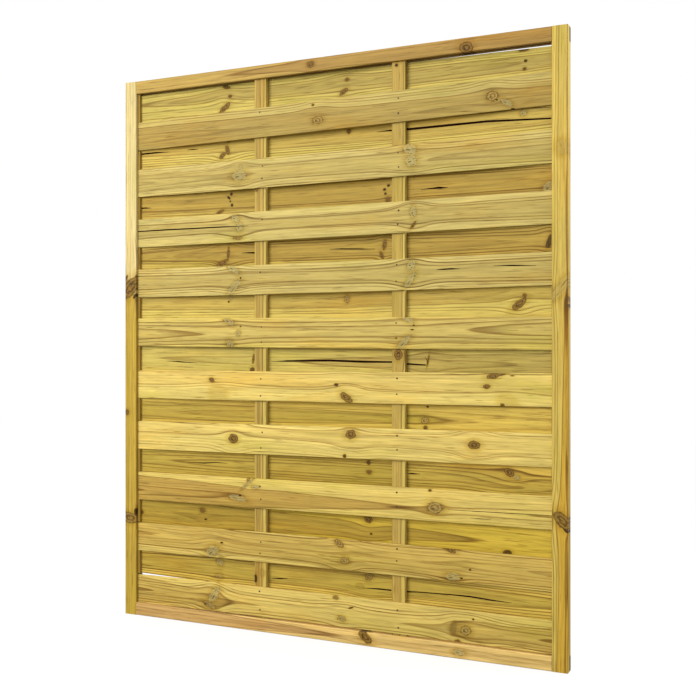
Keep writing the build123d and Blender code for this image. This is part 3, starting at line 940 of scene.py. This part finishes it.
def make_board(layer, number, facts):
    """Builds one board with its splits and finish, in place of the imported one."""
    node = f"{layer}_slat_{number}"
    size, sign = measure_slat(node)
    centre = Vector((panel_middle.x, size["Middle Y"] - sign * SLAT_THICKNESS / 2,
                     (size["Left Z"] + size["Right Z"]) / 2))
    slope = (size["Right Z"] - size["Left Z"]) / (size["Right X"] - size["Left X"])
    looks = {name: facts[name] for name in LOOKS if name in facts}
    material = pine_material(node.replace("_", " "), place=centre, **looks)
    values = {**size, "Crook": facts["crook"] * MM, "Seed": number * BOARD_SEED_STEP + sign, "Material": material}
    piece = run_tree(node + "_bowed", bowed, values)
    volume = face_outwards(piece.data)

    def rise(x):
        """How far along its bow the board is: 0 at its ends and 1 in its middle."""
        return 1 - (2 * (x - size["Left X"]) / (size["Right X"] - size["Left X"]) - 1) ** 2

    def middle_z(x):
        """Height of the board's middle line."""
        straight = size["Left Z"] + slope * (x - size["Left X"])
        return straight + facts["crook"] * MM * (rise(x) - MEAN_OF_CROOK)

    def face_y(x, outward=-1):
        """Depth of the board's face, the front one or, with outward 1, the back one."""
        middle = size["End Y"] + (size["Middle Y"] - size["End Y"]) * rise(x)
        return middle + outward * SLAT_THICKNESS / 2

    for x, z in facts.get("nails", REAR_NAILS if layer == "back" else ()):
        nail_places[layer].append((x * MM, face_y(x * MM, sign), middle_z(x * MM) + z * MM))

    cutters = [split_wedge(path, face_y, middle_z) for path in facts.get("splits", [])]
    if cutters:
        cut(piece, cutters)
    piece.data.set_sharp_from_angle(angle=SHARP_ANGLE)
    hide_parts(node)
    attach(piece, "root")
    return volume


nail_places = {"front": [], "back": []}
volumes = [make_board(layer, number, facts)
           for layer, boards in (("front", FRONT), ("back", BACK)) for number, facts in boards.items()]
print("volume of the boards in litres:", round(sum(volumes) * 1000, 2))

# %% [markdown]
# Two nails hold each board to each batten. A nail's head is always the same,
# so one small tree sets a head on every point that it is given. It lies along
# Y, stands a little proud, and is turned and sized a little differently each
# time, as hammered nails are. The rear boards are nailed from behind.

# %% Nails
NAIL_RADIUS = 2.7 * MM
NAIL_PROUD = 0.35 * MM
NAIL_SIDES = 14
NAIL_TILT = 0.05
NAIL_TURN = 3
NAIL_SIZES = (0.85, 1.15)

nailed, ins, outs = new_geometry_tree(
    "Nails", [("Radius", "Float"), ("Length", "Float"), ("Material", "Material")], takes_points=True)
feeds = {"Vertices": NAIL_SIDES, "Radius": ins["Radius"], "Depth": ins["Length"]}
head = add(nailed, "GeometryNodeMeshCylinder", feeds, fill_type="NGON")
feeds = {0: (math.pi / 2 - NAIL_TILT, 0, 0), 1: (math.pi / 2 + NAIL_TILT, NAIL_TURN, 0)}
spin = add(nailed, "FunctionNodeRandomValue", feeds, data_type="FLOAT_VECTOR").outputs[0]
feeds = {2: NAIL_SIZES[0], 3: NAIL_SIZES[1], "Seed": 4}
swell = add(nailed, "FunctionNodeRandomValue", feeds, data_type="FLOAT").outputs[1]
feeds = {"Points": ins["Points"], "Instance": head.outputs[0], "Rotation": spin, "Scale": swell}
set_out = add(nailed, "GeometryNodeInstanceOnPoints", feeds)
painted = add(nailed, "GeometryNodeSetMaterial", {"Geometry": set_out.outputs[0], "Material": ins["Material"]})
real = add(nailed, "GeometryNodeRealizeInstances", {"Geometry": painted.outputs[0]})
nailed.links.new(real.outputs[0], outs.inputs[0])

nail_steel = bpy.data.materials.new("Weathered nail")
nail_steel.use_nodes = True
shade = nail_steel.node_tree.nodes["Principled BSDF"]
for name, value in {"Base Color": linear("#4a3619"), "Metallic": 0.3, "Roughness": 0.7}.items():
    shade.inputs[name].default_value = value
for layer, places in nail_places.items():
    values = {"Radius": NAIL_RADIUS, "Length": 2 * NAIL_PROUD, "Material": nail_steel}
    nails = run_tree(f"{layer}_nails", nailed, values, places)
    face_outwards(nails.data)
    nails.data.set_sharp_from_angle(angle=SHARP_ANGLE)
    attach(nails, "root")
    print(layer, "nails:", len(places))

# %% [markdown]
# The frame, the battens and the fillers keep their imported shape, which is
# already eased along its edges. They only need their own pine.

# %% Finish of the frame, the battens and the fillers
def finish_node(node, **looks):
    """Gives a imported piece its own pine."""
    low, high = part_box(node)
    middle = (low + high) / 2
    material = pine_material(node.replace("_", " "), place=(middle.x, low.y, middle.z), **looks)
    mesh = nodes[node].data
    mesh.materials.clear()
    mesh.materials.append(material)


def upright_knot(height, x, high=9, wide=8, angle=0, push=0.6, dark=0.3, reach=None):
    """A knot on an upright piece: its height, and how far right of the piece's middle line it lies."""
    return (-height, x, high, wide, angle, push, dark, reach or (high * 4, wide * 2.4))


stile = {"upright": True, "length": 1800, "pith": 6}
rail = {"length": 1500}
batten = {"tone": "planed", "upright": True, "length": 1740, "ring": 8, "contrast": 0.8}
filler = {"tone": "filler", "upright": True, "length": 1700}

finish_node("left_stile", **stile, tone="pale", heart=((-4, -110), (-10, 190)), ring=8, contrast=0.45,
            knots=[upright_knot(205, 0, 52, 24, 45, push=0.9, dark=0.49, reach=(130, 50)),
                   upright_knot(176, 18, 12, 5, 40, dark=0.9),
                   upright_knot(236, -20, 14, 6, 40, dark=0.8), upright_knot(-217, -14, 10, 9, dark=0.5),
                   upright_knot(-552, 20, 12, 6, dark=0.95),
                   upright_knot(-574, -2, 18, 36, 8, dark=0.47, reach=(90, 50))])
finish_node("right_stile", **stile, tone="ochre", heart=((24, -14), (14, 24)), ring=7, contrast=0.9,
            knots=[upright_knot(560, 6, 20, 18, push=0.2, dark=0.12),
                   upright_knot(170, 4, 52, 14, 42, push=0.4, dark=0.22, reach=(90, 40)),
                   upright_knot(130, 30, 26, 10, push=0.5, dark=0.45, reach=(70, 34)),
                   upright_knot(-478, 8, 34, 17, -45, push=0.8, dark=0.48, reach=(110, 50)),
                   upright_knot(-504, 17, 10, 4, -45, dark=0.9)])
finish_node("top_rail", **rail, tone="tan", heart=((0, -10), (2, 36)), ring=6, contrast=0.8,
            knots=[knot_at(704, 2, 14, 11, push=0.9, dark=0.6, reach=(50, 28)),
                   knot_at(1207, -9, 22, 17, 15, push=0.9, dark=0.6, reach=(56, 34))])
finish_node("bottom_rail", **rail, tone="pink", heart=((0, 30), (0, -18)), ring=8, contrast=0.7,
            knots=[knot_at(888, 6, 26, 14, 35, push=0.9, dark=0.7, reach=(60, 34)),
                   knot_at(1186, -2, 18, 10, dark=0.3)])
finish_node("middle_batten_1", **batten, heart=((-6, 22), (-8, 12)),
            knots=[upright_knot(508, -14, 8, 6, dark=0.55), upright_knot(-735, -17, 14, 6, dark=0.9),
                   upright_knot(-715, 8, 9, 8, dark=0.1)])
finish_node("middle_batten_2", **batten, heart=((-4, 22), (-8, 12)),
            knots=[upright_knot(-18, 0, 17, 13, push=0.9, dark=0.6), upright_knot(848, -6, 5, 5, dark=0.9)])
for node in ("front_spacers_left", "front_spacers_right", "back_spacers_left", "back_spacers_right"):
    finish_node(node, **filler, heart=((0, 10), (0, 10)))
print("materials:", len(bpy.data.materials))

# %% [markdown]
# The picture is kept in the Standard view, so that a colour shows as it was
# chosen.

# %% View transform
bpy.context.scene.view_settings.view_transform = "Standard"
